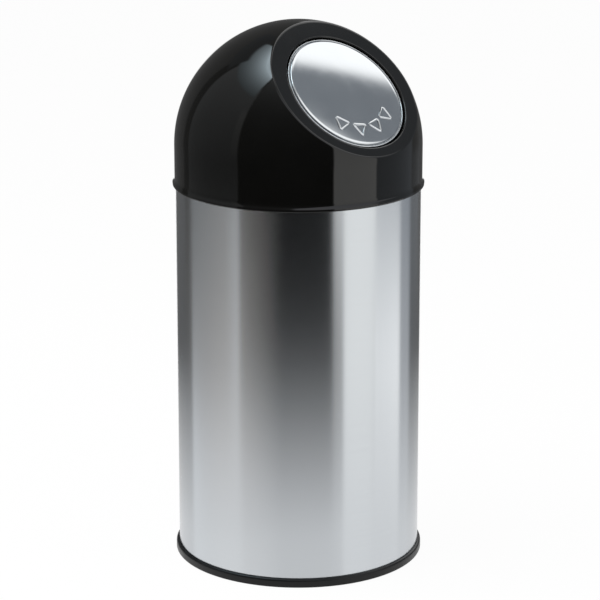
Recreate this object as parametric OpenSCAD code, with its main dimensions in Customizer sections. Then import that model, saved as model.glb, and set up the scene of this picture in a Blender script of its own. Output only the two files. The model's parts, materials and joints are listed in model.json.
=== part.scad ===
// Dome top waste receptacle: a sheet steel drum on a plastic foot ring, an inner liner with a wire bail,
// and a lift-off dome whose slanted flat carries a round spring-closed flap.
// The floor is z = 0, the axis of the drum is z, and the flap faces -y.

/* [Whole] */
// Height from the floor to the top of the dome
overall_h = 740; // [700:1:780]
// Height of the dome's lower edge above the floor
seam_z = 519; // [490:1:530]

/* [Drum] */
// Outside diameter of the drum
body_d = 331.4; // [331:0.1:332]
// Sheet thickness of the drum, its pan and the liner
sheet = 0.5; // [0.4:0.1:0.8]
// Radius of the curl along the drum's top edge
curl_r = 2.5; // [2:0.1:3]
// Outside diameter of the foot ring
ring_d = 340; // [338:1:342]
// Height of the foot ring
ring_h = 12; // [11:0.5:14]

/* [Dome] */
// Outside diameter of the dome
dome_d = 335; // [334.4:0.1:336]
// Sheet thickness of the dome
dome_t = 0.8; // [0.7:0.1:1.2]
// How far the hem at the dome's lower edge stands out
hem_out = 2.5; // [2:0.1:3]
// Height of the hem
hem_h = 9; // [8:0.5:11]
// Angle between the flat's normal and the vertical
tilt = 45; // [44:0.5:46]
// Radius of the flat on the dome
flat_r = 109; // [107:0.5:110]
// Radius of the rounded edge between the flat and the dome
edge_r = 4; // [3:0.5:5]
// Radius of the hole in the flat
hole_r = 89.5; // [88.5:0.5:90]
// How far the hole's centre lies down the slope from the flat's centre
hole_drop = 5.5; // [4:0.5:6]
// Radius of the bend at the hole's edge
lip_r = 3.5; // [3:0.25:4]
// Depth of the turned-in lip
lip_deep = 6.5; // [6:0.25:7]

/* [Flap] */
// Gap between the flap and the hole
flap_gap = 2.5; // [2:0.25:3.5]
// How far the flap lies below the flat
flap_sunk = 1.5; // [1:0.1:2.5]
// Radius of the flap's rounded edge
flap_edge_r = 3.5; // [3:0.25:4]
// Sheet thickness of the flap's face and back
flap_t = 0.8; // [0.6:0.1:1]
// Depth of the flap's rim
flap_rim = 7.5; // [7:0.25:8]
// Diameter of the hinge pin
pin_d = 4; // [4:0.5:5]

/* [Liner] */
// Outside diameter of the liner
liner_d = 302; // [298:1:303]
// Height of the liner's rim above the floor
liner_top = 490; // [460:1:492]
// Wire diameter of the bail
bail_d = 4.5; // [4:0.1:5]

/* [Hidden] */
$fn = 96;

// Play between parts that move past each other, and a running fit on a pin
play = 0.3;
run_fit = 0.05;
// How far a cut reaches past the piece that it goes through, or a joined form into the next one
over = 1;

// Drum
body_r = body_d / 2;
body_in = body_r - sheet;
body_covered = 6;
body_top = seam_z + body_covered;
ring_r = ring_d / 2;
ring_floor = 4;
ring_in = 160;
ring_in_top = 10;
ring_round = 3.5;
pan_low = 12;
pan_high = 18;
pan_step = 125;
pan_slope = 6;
seam_w = 10;
seam_fold = 1.4;

// Dome: its ball's centre and the flat's distance from it
dome_r = dome_d / 2;
dome_in = dome_r - dome_t;
dome_z = overall_h - dome_r;
edge_z = sqrt(pow(dome_r - edge_r, 2) - pow(flat_r, 2));
flat_z = edge_z + edge_r;
// How far the bevel round the flat falls per unit of radius, so that it follows the rounded edge
edge_turn = atan2(flat_r, edge_z);
edge_fall = tan(edge_turn / 2);
form_reach = 300;
hem_r = dome_r + hem_out;
hem_round = 2.5;
hem_foot = 1.2;

// Seat ring: it sits on the drum's curl, and its spigot goes inside the curl
seat_z = body_top + play;
seat_t = 3;
seat_wall = 2;
seat_up = 12;
spigot_play = 0.5;
spigot_r = body_r - 2 * curl_r - spigot_play;
spigot_t = 1.7;
spigot_deep = 14;
// The lead-in along the spigot's lower edge: how far it goes in, and how high it is
lead_in = 0.7;
lead_h = 3;

// Hinge, in the flat's own frame: y runs up the slope, z along its normal
pin_r = pin_d / 2;
pin_y = 97;
pin_deep = 11.5;
pin_z = flat_z - pin_deep;
pin_half = 47;
ear_x = 42;
ear_t = 1.5;
ear_r = 6.5;
ear_low_y = 84;
foot_w = 12;
foot_y = [80, 93];
cap_r = 5;
cap_t = 1.5;
coil_x = [31, 41];
coil_in = 2.6;
wire_r = 0.6;
coil_out = coil_in + 2 * wire_r;
fixed_leg_y = 80;
free_leg_y = 66;

// Flap
flap_r = hole_r - flap_gap;
flap_z = flat_z - flap_sunk;
flap_low = flap_z - flap_rim;
strap_t = 1.5;
strap_z = flap_low - strap_t;
strap_w = 72;
strap_tip_w = 40;
strap_tip_y = -101;
strap_neck_y = 88;
knuckle_x = [18, 30];
knuckle_r = 3.8;
rivet_r = 3.5;
rivet_h = 1.2;
rivet_x = 22;
rivet_y = [-40, 50];
bumper_y = [-99, -93.3];
bumper_w = 30;

// Liner: its foot stands on the pan's rim, and its deck clears the pan's raised middle
liner_r = liner_d / 2;
liner_in = liner_r - sheet;
liner_foot = pan_low + sheet + play;
liner_deck = pan_high + sheet + 4 * play;
rim_r = 3;
rim_z = liner_top - rim_r;
rim_x = liner_r + rim_r - sheet;
rim_wire_r = 2.2;
bail_r = bail_d / 2;
bail_z = liner_top + bail_r + play;
// The bail's ends turn in the ears with a running fit, and poke this far past the liner's wall
bail_end_r = bail_r - run_fit;
bail_bore = bail_r;
bail_poke = 6;
bail_tip = liner_in - bail_poke;
liner_ear_t = 1.5;
liner_ear_w = 28;
liner_ear_h = 34;
liner_ear_low = liner_top - liner_ear_h;
ear_top_r = 8;
ear_rivet_r = 3;
ear_rivet_h = 1.8;
ear_rivet_z = liner_ear_low + 12;
ear_rivet_lean = 3.4;

// The flat's own frame: the origin is the ball's centre, z is the flat's normal
module on_flat() {
  translate([0, 0, dome_z]) rotate([tilt, 0, 0]) children();
}

// Places the children at the centre line of the hole and the flap
module on_hole() {
  on_flat() translate([0, -hole_drop, 0]) children();
}

// A round rod along x, from one x to the other
module rod_x(x0, x1, r) {
  translate([x0, 0, 0]) rotate([0, 90, 0]) cylinder(h = x1 - x0, r = r);
}

// A box between two opposite corners
module block(low, high) {
  translate(low) cube(high - low);
}

// A flat bar between two opposite corners, in an outline
module bar(low, high) {
  translate(low) square(high - low);
}

// A straight round rod from one point to another in a plane of constant x
module leg(x, from, to, r) {
  d = to - from;
  translate([x, from[0], from[1]]) rotate([-atan2(d[0], d[1]), 0, 0]) cylinder(h = norm(d), r = r, $fn = 24);
}

// The part of a thin arc between two directions, each given by a point that it goes through
module arc_band(r, t, from, to) {
  a = from * 2 * r / max(abs(from[0]), abs(from[1]));
  b = to * 2 * r / max(abs(to[0]), abs(to[1]));
  intersection() {
    difference() {
      circle(r);
      circle(r - t);
    }
    polygon([[0, 0], b, a + b, a]);
  }
}

module body_shell() {
  color("#c3c6ca") union() {
    rotate_extrude($fn = 180) {
      bar([body_in, ring_floor], [body_r, body_top - curl_r]);
      translate([body_r - curl_r, body_top - curl_r]) difference() {
        intersection() {
          circle(curl_r);
          bar([-curl_r, -curl_r / 2], [curl_r, curl_r]);
        }
        circle(curl_r - sheet);
        bar([0, -curl_r], [curl_r, 0]);
      }
    }
    // Folded joint of the sheet, inside at the back
    intersection() {
      rotate_extrude($fn = 180) bar([body_in - seam_fold, pan_high], [body_in, body_top - 3 * curl_r]);
      block([-seam_w / 2, 0, 0], [seam_w / 2, body_r, body_top]);
    }
  }
}

module bottom_pan() {
  color("#9ea1a4") rotate_extrude($fn = 180) {
    bar([body_in - sheet, ring_floor], [body_in, pan_low + sheet]);
    bar([pan_step + pan_slope, pan_low], [body_in - sheet, pan_low + sheet]);
    bar([0, pan_high], [pan_step, pan_high + sheet]);
    polygon([[pan_step, pan_high], [pan_step + pan_slope, pan_low],
             [pan_step + pan_slope, pan_low + sheet], [pan_step, pan_high + sheet]]);
  }
}

module foot_ring() {
  color("#161617") rotate_extrude($fn = 180) {
    bar([ring_in, 0], [ring_r, ring_floor]);
    bar([ring_in, ring_floor], [body_in - sheet, ring_in_top]);
    bar([body_r, ring_floor], [ring_r, ring_h - ring_round]);
    bar([body_r, ring_h - ring_round], [ring_r - ring_round, ring_h]);
    translate([ring_r - ring_round, ring_h - ring_round]) intersection() {
      circle(ring_round);
      square(ring_round);
    }
  }
}

// The dome as a filled form, with every surface moved in by a gap
module dome_form(gap, low) {
  intersection() {
    rotate_extrude($fn = 180) {
      translate([0, dome_z]) intersection() {
        circle(dome_r - gap);
        square(dome_r);
      }
      bar([0, low], [dome_r - gap, dome_z]);
    }
    // The flat, and the bevelled edge round it
    on_flat() rotate_extrude($fn = 180)
      polygon([[0, -form_reach], [form_reach, -form_reach],
               [form_reach, flat_z - gap - edge_fall * (form_reach - flat_r)],
               [flat_r, flat_z - gap], [0, flat_z - gap]]);
  }
}

// The rolled hem along the dome's lower edge
module dome_hem() {
  rotate_extrude($fn = 180) {
    bar([dome_in, seam_z + hem_foot], [hem_r, seam_z + hem_h - hem_round]);
    bar([dome_in, seam_z + hem_h - hem_round], [dome_r, seam_z + hem_h]);
    bar([dome_in, seam_z], [hem_r - hem_foot, seam_z + hem_foot]);
    translate([dome_r, seam_z + hem_h - hem_round]) intersection() {
      circle(hem_round);
      square(hem_round);
    }
    translate([hem_r - hem_foot, seam_z + hem_foot]) intersection() {
      circle(hem_foot);
      bar([0, -hem_foot], [hem_foot, 0]);
    }
  }
}

module dome_shell() {
  color("#0d0d0e") union() {
    difference() {
      dome_form(0, seam_z + hem_h);
      dome_form(dome_t, seam_z);
      on_hole() cylinder(h = dome_r, r = hole_r + lip_r);
    }
    on_hole() rotate_extrude($fn = 180) {
      translate([hole_r + lip_r, flat_z - lip_r]) arc_band(lip_r, dome_t, [-1, 0], [0, 1]);
      bar([hole_r, flat_z - lip_deep], [hole_r + dome_t, flat_z - lip_r]);
    }
    dome_hem();
  }
}

module dome_seat_ring() {
  color("#1d1d1f") rotate_extrude($fn = 180) {
    bar([spigot_r - spigot_t, seat_z], [dome_in, seat_z + seat_t]);
    bar([dome_in - seat_wall, seat_z + seat_t], [dome_in, seat_z + seat_up]);
    polygon([[spigot_r - spigot_t, seat_z - spigot_deep], [spigot_r - lead_in, seat_z - spigot_deep],
             [spigot_r, seat_z - spigot_deep + lead_h], [spigot_r, seat_z], [spigot_r - spigot_t, seat_z]]);
  }
}

// The right bracket stands at +x: a foot welded under the flat, and an ear that holds the pin
module hinge_bracket() {
  on_flat() difference() {
    union() {
      block([ear_x, foot_y[0], flat_z - dome_t - ear_t], [ear_x + foot_w, foot_y[1], flat_z - dome_t]);
      block([ear_x, ear_low_y, pin_z], [ear_x + ear_t, pin_y + over, flat_z - dome_t]);
      translate([0, pin_y, pin_z]) rod_x(ear_x, ear_x + ear_t, ear_r);
    }
    translate([0, pin_y, pin_z]) rod_x(ear_x - over, ear_x + ear_t + over, pin_r);
  }
}

module hinge_bracket_right() {
  color("#26272a") hinge_bracket();
}

module hinge_bracket_left() {
  color("#26272a") mirror([1, 0, 0]) hinge_bracket();
}

module hinge_pin() {
  color("#b9bcc0") on_flat() translate([0, pin_y, pin_z]) rod_x(-pin_half, pin_half, pin_r);
}

module pin_cap() {
  on_flat() translate([0, pin_y, pin_z]) difference() {
    rod_x(ear_x + ear_t, ear_x + ear_t + cap_t, cap_r);
    rod_x(ear_x, ear_x + ear_t + 2 * cap_t, pin_r);
  }
}

module pin_caps() {
  color("#8f9296") {
    pin_cap();
    mirror([1, 0, 0]) pin_cap();
  }
}

// The coil sits on the pin; one leg bears on the back of the flat, the other lifts the flap's strap
module return_spring() {
  mid = coil_in + wire_r;
  on_flat() union() {
    translate([0, pin_y, pin_z]) difference() {
      rod_x(coil_x[0], coil_x[1], coil_out);
      rod_x(coil_x[0] - over, coil_x[1] + over, coil_in);
    }
    leg(coil_x[1] - wire_r, [pin_y, pin_z + mid], [fixed_leg_y, flat_z - dome_t - wire_r - play], wire_r);
    leg(coil_x[0] + wire_r, [pin_y, pin_z - mid], [free_leg_y, strap_z - wire_r - play], wire_r);
  }
}

module return_spring_right() {
  color("#a9acb0") return_spring();
}

module return_spring_left() {
  color("#a9acb0") mirror([1, 0, 0]) return_spring();
}

module flap_face() {
  color("#c9ccd0") on_hole() rotate_extrude($fn = 180) {
    bar([0, flap_z - flap_t], [flap_r - flap_edge_r, flap_z]);
    translate([flap_r - flap_edge_r, flap_z - flap_edge_r]) arc_band(flap_edge_r, flap_t, [0, 1], [1, 0]);
    bar([flap_r - flap_t, flap_low], [flap_r, flap_z - flap_edge_r]);
  }
}

module flap_back() {
  color("#202124") on_hole() translate([0, 0, flap_low]) cylinder(h = flap_t, r = flap_r - flap_t);
}

module flap_strap() {
  tip = strap_tip_w / 2;
  color("#2b2c2f") on_flat() difference() {
    union() {
      translate([0, 0, strap_z]) linear_extrude(strap_t)
        polygon([[-tip, strap_tip_y], [tip, strap_tip_y], [strap_w / 2, 0], [strap_w / 2, strap_neck_y],
                 [-strap_w / 2, strap_neck_y], [-strap_w / 2, 0]]);
      for (low = [-knuckle_x[1], knuckle_x[0]]) {
        high = low + knuckle_x[1] - knuckle_x[0];
        block([low, strap_neck_y - over, strap_z], [high, pin_y, strap_z + strap_t]);
        translate([0, pin_y, pin_z]) rod_x(low, high, knuckle_r);
      }
    }
    translate([0, pin_y, pin_z]) rod_x(-strap_w, strap_w, pin_r + run_fit);
  }
}

module strap_rivets() {
  color("#8f9296") on_flat() for (x = [-rivet_x, rivet_x], y = rivet_y)
    translate([x, y, strap_z - rivet_h]) cylinder(h = rivet_h, r1 = rivet_r - rivet_h, r2 = rivet_r, $fn = 32);
}

module stop_bumper() {
  color("#101011") on_flat()
    block([-bumper_w / 2, bumper_y[0], flap_low], [bumper_w / 2, bumper_y[1], flat_z - lip_deep - play]);
}

module liner_shell() {
  color("#aeb3b6") rotate_extrude($fn = 180) {
    bar([liner_in, liner_foot], [liner_r, rim_z]);
    translate([rim_x, rim_z]) difference() {
      circle(rim_r);
      circle(rim_r - sheet);
      bar([-rim_r, -rim_r], [0, 0]);
    }
  }
}

module liner_base() {
  color("#a3a8ab") rotate_extrude($fn = 180) {
    bar([0, liner_deck], [liner_in, liner_deck + sheet]);
    bar([liner_in - sheet, liner_foot], [liner_in, liner_deck]);
  }
}

module liner_rim_wire() {
  color("#8a8d90") rotate_extrude($fn = 180) translate([rim_x, rim_z]) circle(rim_wire_r);
}

// One ear: a plate bent to the liner's wall, standing up past the rim, with the bail's hole
module liner_ear() {
  difference() {
    intersection() {
      rotate_extrude($fn = 180) bar([liner_in - liner_ear_t, liner_ear_low], [liner_in, bail_z + 2 * ear_top_r]);
      union() {
        block([0, -liner_ear_w / 2, liner_ear_low], [liner_r, liner_ear_w / 2, rim_z]);
        block([0, -ear_top_r, rim_z - over], [liner_r, ear_top_r, bail_z]);
        translate([0, 0, bail_z]) rod_x(0, liner_r, ear_top_r);
      }
    }
    translate([0, 0, bail_z]) rod_x(0, liner_r, bail_bore);
  }
}

module liner_ears() {
  color("#9a9fa2") {
    liner_ear();
    rotate([0, 0, 180]) liner_ear();
  }
}

module ear_rivets() {
  wall = sqrt(pow(liner_in - liner_ear_t, 2) - pow(ear_rivet_r, 2));
  color("#7f8487") for (turn = [0, 180], lean = [-ear_rivet_lean, ear_rivet_lean])
    rotate([0, 0, turn + lean]) translate([0, 0, ear_rivet_z]) rod_x(wall - ear_rivet_h, wall, ear_rivet_r);
}

// The bail lies on the liner's rim, and its ends turn in through the ears
module liner_bail() {
  color("#b4b8bb") translate([0, 0, bail_z]) union() {
    rotate_extrude(angle = 180, $fn = 120) translate([rim_x, 0]) circle(bail_r, $fn = 24);
    for (low = [-rim_x - bail_end_r, bail_tip])
      rod_x(low, low + rim_x + bail_end_r - bail_tip, bail_end_r, $fn = 24);
  }
}

body_shell();
bottom_pan();
foot_ring();
dome_shell();
dome_seat_ring();
hinge_bracket_left();
hinge_bracket_right();
hinge_pin();
pin_caps();
return_spring_left();
return_spring_right();
flap_face();
flap_back();
flap_strap();
strap_rivets();
stop_bumper();
liner_shell();
liner_base();
liner_rim_wire();
liner_ears();
ear_rivets();
liner_bail();
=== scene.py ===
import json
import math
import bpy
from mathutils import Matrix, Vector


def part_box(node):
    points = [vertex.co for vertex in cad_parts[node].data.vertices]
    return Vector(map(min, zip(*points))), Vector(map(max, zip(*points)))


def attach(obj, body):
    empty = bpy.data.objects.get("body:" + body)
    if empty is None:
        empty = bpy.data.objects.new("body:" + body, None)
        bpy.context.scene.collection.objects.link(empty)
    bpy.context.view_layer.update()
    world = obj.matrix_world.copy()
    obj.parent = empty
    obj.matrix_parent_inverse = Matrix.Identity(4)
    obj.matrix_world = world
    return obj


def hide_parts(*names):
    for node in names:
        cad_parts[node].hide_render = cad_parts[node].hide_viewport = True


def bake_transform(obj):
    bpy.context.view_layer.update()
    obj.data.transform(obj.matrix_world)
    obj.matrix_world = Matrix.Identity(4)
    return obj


bl_info = {
    "name": "Dome Top Waste Receptacle",
    "version": (1, 0, 0),
    "blender": (4, 5, 0),
    "location": "3D View > Sidebar > Receptacle",
    "description": "Builds a steel waste receptacle with a lift-off dome, a push flap and an inner liner",
    "category": "Object",
}

import bmesh
import bpy
from mathutils import Matrix, Vector

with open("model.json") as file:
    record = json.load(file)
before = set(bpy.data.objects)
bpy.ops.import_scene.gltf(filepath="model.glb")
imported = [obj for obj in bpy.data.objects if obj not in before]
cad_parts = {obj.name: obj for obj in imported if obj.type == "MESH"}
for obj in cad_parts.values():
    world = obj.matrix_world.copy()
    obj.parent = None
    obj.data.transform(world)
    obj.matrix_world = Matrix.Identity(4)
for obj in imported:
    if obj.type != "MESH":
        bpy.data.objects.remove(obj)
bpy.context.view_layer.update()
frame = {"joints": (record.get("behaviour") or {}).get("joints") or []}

MM = 0.001
JOINTS = {joint["name"]: joint for joint in frame["joints"]}
FLAP_PIN = Vector(JOINTS["flap_swing"]["pos_m"])
BAIL_PIN = Vector(JOINTS["bail_swing"]["pos_m"])

# How finely shapes are drawn: the columns of a turned piece, the angle to a step of a rounded corner, and how
# far from a corner a straight stretch gets a point of its own, so that its shading stays flat
COLUMNS = 192
ARC_STEP = math.radians(11.25)
HOLD = 1.2 * MM
# An edge that turns by more than this looks sharp
SHARP = math.radians(32)

UP = Vector((0, 0, 1))
# Lays what was turned round Z along X, as the hinge's pin lies
ALONG_X = Matrix.Rotation(math.radians(90), 4, "Y")


def low(node):
    """The lowest corner of a solid's box."""
    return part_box(node)[0]


def high(node):
    """The highest corner of a solid's box."""
    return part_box(node)[1]


# ---------------------------------------------------------------- sizes and colours


def length(name, description, default):
    """A length in metres that a user can change."""
    return bpy.props.FloatProperty(
        name=name, description=description, default=default, unit="LENGTH", precision=5
    )


def turn(name, description, degrees):
    """An angle that a user can change."""
    return bpy.props.FloatProperty(
        name=name, description=description, default=math.radians(degrees), unit="ROTATION"
    )


def linear(hex_colour):
    """The linear colour of an sRGB hex value."""
    channels = [int(hex_colour[i : i + 2], 16) / 255 for i in (1, 3, 5)]
    return [c / 12.92 if c <= 0.04045 else ((c + 0.055) / 1.055) ** 2.4 for c in channels]


def colour(name, description, hex_colour):
    """A colour that a user can change."""
    return bpy.props.FloatVectorProperty(
        name=name, description=description, default=linear(hex_colour), subtype="COLOR", min=0, max=1
    )


def group(name, description, kind):
    """A group of sizes or colours."""
    return bpy.props.PointerProperty(name=name, description=description, type=kind)


class DrumSizes(bpy.types.PropertyGroup):
    radius: length("Radius", "Outside radius of the drum", high("body_shell").x)
    top: length("Top", "Height of the rolled top edge", high("body_shell").z)
    foot: length("Foot", "Height of the sheet's lower edge", low("body_shell").z)
    sheet: length("Sheet", "Thickness of the sheet", 0.5 * MM)
    curl: length("Curl", "Radius of the rolled top edge", 2.5 * MM)
    fold_width: length("Fold width", "Width of the folded joint at the back", 10 * MM)
    fold_depth: length("Fold depth", "How far the folded joint stands in", 1.4 * MM)
    pan_low: length("Pan's edge", "Height of the pan's outer part", low("bottom_pan").z + 8 * MM)
    pan_high: length("Pan's middle", "Height of the pan's raised middle", high("bottom_pan").z - 0.5 * MM)
    pan_step: length("Pan's step", "Radius at which the pan steps up", 125 * MM)
    ring_radius: length("Ring radius", "Outside radius of the foot ring", high("foot_ring").x)
    ring_height: length("Ring height", "Height of the foot ring", high("foot_ring").z)
    ring_floor: length("Ring floor", "Thickness of the foot ring under the sheet", low("body_shell").z)
    ring_inside: length("Ring inside", "Inside radius of the foot ring", 160 * MM)


class DomeSizes(bpy.types.PropertyGroup):
    sheet: length("Sheet", "Thickness of the dome's sheet", 0.8 * MM)
    radius: length("Radius", "Outside radius of the ball", high("dome_seat_ring").x + 0.8 * MM)
    top: length("Top", "Height of the dome's top", high("dome_shell").z)
    foot: length("Foot", "Height of the dome's lower edge", low("dome_shell").z)
    hem_radius: length("Hem radius", "Outside radius of the rolled hem", high("dome_shell").x)
    hem_height: length("Hem height", "Height of the flared hem", 9 * MM)
    tilt: turn("Tilt", "Angle between the flat's normal and the vertical", 45)
    flat_radius: length("Flat radius", "Radius of the flat", 109 * MM)
    edge_radius: length("Edge radius", "Radius of the rounded edge round the flat", 4 * MM)
    hole_radius: length("Hole radius", "Radius of the hole in the flat", 89.5 * MM)
    hole_drop: length("Hole drop", "How far the hole lies down the slope", 5.5 * MM)
    lip_radius: length("Lip radius", "Radius of the bend at the hole", 1.8 * MM)
    lip_depth: length("Lip depth", "Depth of the turned-in lip", 6.5 * MM)
    seat_low: length("Seat ring foot", "Lower end of the seat ring's spigot", low("dome_seat_ring").z)
    seat_high: length("Seat ring top", "Upper end of the seat ring's wall", high("dome_seat_ring").z)


class FlapSizes(bpy.types.PropertyGroup):
    gap: length("Gap", "Gap between the flap and the hole", 2.5 * MM)
    sunk: length("Sunk", "How far the flap's rim lies below the flat", 1.5 * MM)
    crown: length("Crown", "How far the middle stands above the rim", 2.4 * MM)
    sheet: length("Sheet", "Thickness of the flap's sheet", 0.8 * MM)
    rim: length("Rim", "Depth of the flap's rim", 7.5 * MM)
    strap: length("Strap", "Thickness of the strap", 1.5 * MM)
    mark_count: bpy.props.IntProperty(
        name="Arrowheads", description="Raised arrowheads on the flap", default=4
    )
    step: length("Step", "Width of the sunk border round the face, with a bead at its edge", 3.6 * MM)
    step_depth: length("Step depth", "How far the border lies below the face's edge", 3.2 * MM)
    bead: length("Bead", "Radius of the bead at the flap's edge", 0.95 * MM)
    mark_radius: length("Mark radius", "Distance of the arrowheads from the flap's middle", 59 * MM)
    mark_size: length("Mark size", "Radius of one arrowhead's outline", 12.2 * MM)
    mark_line: length("Mark line", "Half the width of an arrowhead's raised line", 1.9 * MM)
    mark_spread: turn("Mark spread", "Angle between two arrowheads", 27.5)


class HingeSizes(bpy.types.PropertyGroup):
    pin: length("Pin", "Radius of the hinge pin", 2 * MM)
    pin_half: length("Pin half", "Half the length of the hinge pin", high("hinge_pin").x)
    ear_x: length("Ear", "Distance of the brackets' ears from the middle", low("hinge_bracket_right").x)
    plate: length("Plate", "Thickness of the brackets", 1.5 * MM)
    wire: length("Spring wire", "Radius of the springs' wire", 0.6 * MM)
    coil: length("Coil", "Radius of the springs' coil at the middle of the wire", 3.2 * MM)
    coil_start: length("Coil start", "The end of the coil next to the flap's knuckle", 31 * MM)
    coil_end: length("Coil end", "The end of the coil next to the bracket", 41 * MM)


class LinerSizes(bpy.types.PropertyGroup):
    radius: length("Radius", "Outside radius of the liner", high("liner_shell").x - 5.5 * MM)
    top: length("Top", "Height of the rolled rim", high("liner_shell").z)
    foot: length("Foot", "Height of the liner's lower edge", low("liner_shell").z)
    deck: length("Deck", "Height of the liner's recessed base", high("liner_base").z)
    sheet: length("Sheet", "Thickness of the liner's sheet", 0.5 * MM)
    rim: length("Rim", "Radius of the rolled rim", 3 * MM)
    ear: length("Ear", "Thickness of the bail's ears", 1.5 * MM)
    wire: length("Wire", "Radius of the bail's wire", 2.25 * MM)
    poke: length("Poke", "How far the bail's ends reach inside the liner's wall", 6 * MM)


class Finishes(bpy.types.PropertyGroup):
    stainless: colour("Stainless steel", "Bare stainless sheet", "#d0d4d8")
    polished: colour("Polished steel", "Polished stainless sheet", "#c4c7c9")
    enamel: colour("Enamel", "Gloss black enamel", "#0f0f0e")
    satin: colour("Satin black", "Satin black coat", "#1c1d1f")
    plastic: colour("Plastic", "Moulded black plastic", "#131415")
    rubber: colour("Rubber", "Black rubber", "#0f0f10")
    zinc: colour("Zinc", "Galvanised sheet", "#aab0b4")
    wire: colour("Wire", "Bright drawn wire", "#c4c8cb")
    spring: colour("Spring", "Spring wire", "#a5a6a8")


class Studio(bpy.types.PropertyGroup):
    distance: length("Camera distance", "Distance of the camera from the point it looks at", 3.923)
    aim_height: length("Aim height", "Height of the point that the camera looks at", 353.7 * MM)
    aim_side: length("Aim side", "How far to its right of the drum's axis the camera looks", 2.1 * MM)
    turn: turn("Camera turn", "Direction of the camera round the drum, from the flap's own direction", -43.42)
    rise: turn("Camera rise", "Direction of the camera above the horizon", 15.93)
    lens: bpy.props.FloatProperty(name="Lens", description="Focal length on a 36 mm sensor", default=172.4)
    paper_radius: length("Paper radius", "How far the pale floor reaches in the steel's reflection", 1.12)
    paper_shift: length("Paper shift", "How far the floor's middle is from the drum, towards the camera", 0.1)
    tent_radius: length("Tent radius", "Distance of the cards and softboxes", 25)


class Receptacle(bpy.types.PropertyGroup):
    drum: group("Drum", "Sizes of the drum, its foot ring and its pan", DrumSizes)
    dome: group("Dome", "Sizes of the dome and its seat ring", DomeSizes)
    flap: group("Flap", "Sizes of the flap", FlapSizes)
    hinge: group("Hinge", "Sizes of the hinge and its springs", HingeSizes)
    liner: group("Liner", "Sizes of the liner and its bail", LinerSizes)
    finishes: group("Finishes", "Colours of the finishes", Finishes)
    studio: group("Studio", "Camera and studio", Studio)


# ---------------------------------------------------------------- nodes


def add(tree, kind, inputs=(), **settings):
    """Adds a node with its settings. An input is a plain value, another node's output, or a node, which gives
    its first output."""
    node = tree.nodes.new(kind)
    for setting, value in settings.items():
        setattr(node, setting, value)
    for socket, value in dict(inputs).items():
        if isinstance(value, bpy.types.Node):
            value = value.outputs[0]
        if isinstance(value, bpy.types.NodeSocket):
            tree.links.new(value, node.inputs[socket])
        else:
            node.inputs[socket].default_value = value
    return node


def calculate(tree, operation, *values):
    """One sum on fields."""
    return add(tree, "ShaderNodeMath", enumerate(values), operation=operation)


def cleared(owner):
    """The emptied node tree of a material or a world."""
    owner.use_nodes = True
    owner.node_tree.nodes.clear()
    return owner.node_tree


def tree_with_inputs(name, **sockets):
    """A Geometry Nodes tree with a geometry input, the given inputs and a material input."""
    tree = bpy.data.node_groups.new(name, "GeometryNodeTree")
    tree.is_modifier = True
    for socket, kind in {"Geometry": "Geometry", **sockets, "material": "Material"}.items():
        tree.interface.new_socket(socket, in_out="INPUT", socket_type="NodeSocket" + kind)
    tree.interface.new_socket("Geometry", in_out="OUTPUT", socket_type="NodeSocketGeometry")
    return tree, add(tree, "NodeGroupInput").outputs


def end_tree(tree, given, geometry):
    """Ends a tree with real geometry in the piece's material."""
    real = add(tree, "GeometryNodeRealizeInstances", {"Geometry": geometry})
    painted = add(tree, "GeometryNodeSetMaterial", {"Geometry": real, "Material": given["material"]})
    add(tree, "NodeGroupOutput", {"Geometry": painted})
    return tree


def carried(tree, name):
    """The vector of this name that each point carries."""
    return add(tree, "GeometryNodeInputNamedAttribute", {"Name": name}, data_type="FLOAT_VECTOR")


def on_points(tree, given, thing, rotation):
    """The thing on each point."""
    inputs = {"Points": given["Geometry"], "Instance": thing, "Rotation": rotation}
    return add(tree, "GeometryNodeInstanceOnPoints", inputs)


def lathe_tree():
    """Turns a chain of points in the XZ plane once round Z. Each column of a grid is the chain, turned."""
    tree, given = tree_with_inputs("Turned on a lathe", columns="Int", closed="Int")
    section = given["Geometry"]
    points = add(tree, "GeometryNodeAttributeDomainSize", {"Geometry": section}).outputs["Point Count"]
    rows = calculate(tree, "ADD", points, given["closed"])
    across = calculate(tree, "ADD", given["columns"], 1)
    grid = add(tree, "GeometryNodeMeshGrid", {"Vertices X": across, "Vertices Y": rows})
    index = add(tree, "GeometryNodeInputIndex")
    column = calculate(tree, "FLOOR", calculate(tree, "DIVIDE", calculate(tree, "ADD", index, 0.5), rows))
    row = calculate(tree, "SUBTRACT", index, calculate(tree, "MULTIPLY", column, rows))
    point = calculate(tree, "MODULO", row, points)
    place = add(tree, "GeometryNodeInputPosition")
    looked_up = {"Geometry": section, "Value": place, "Index": point}
    sample = add(tree, "GeometryNodeSampleIndex", looked_up, data_type="FLOAT_VECTOR")
    angle = calculate(tree, "DIVIDE", calculate(tree, "MULTIPLY", column, math.tau), given["columns"])
    swung = add(tree, "ShaderNodeVectorRotate", {"Vector": sample, "Angle": angle}, rotation_type="Z_AXIS")
    shaped = add(tree, "GeometryNodeSetPosition", {"Geometry": grid, "Position": swung})
    merged = add(tree, "GeometryNodeMergeByDistance", {"Geometry": shaped, "Distance": 0.001 * MM})
    return end_tree(tree, given, merged)


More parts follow.
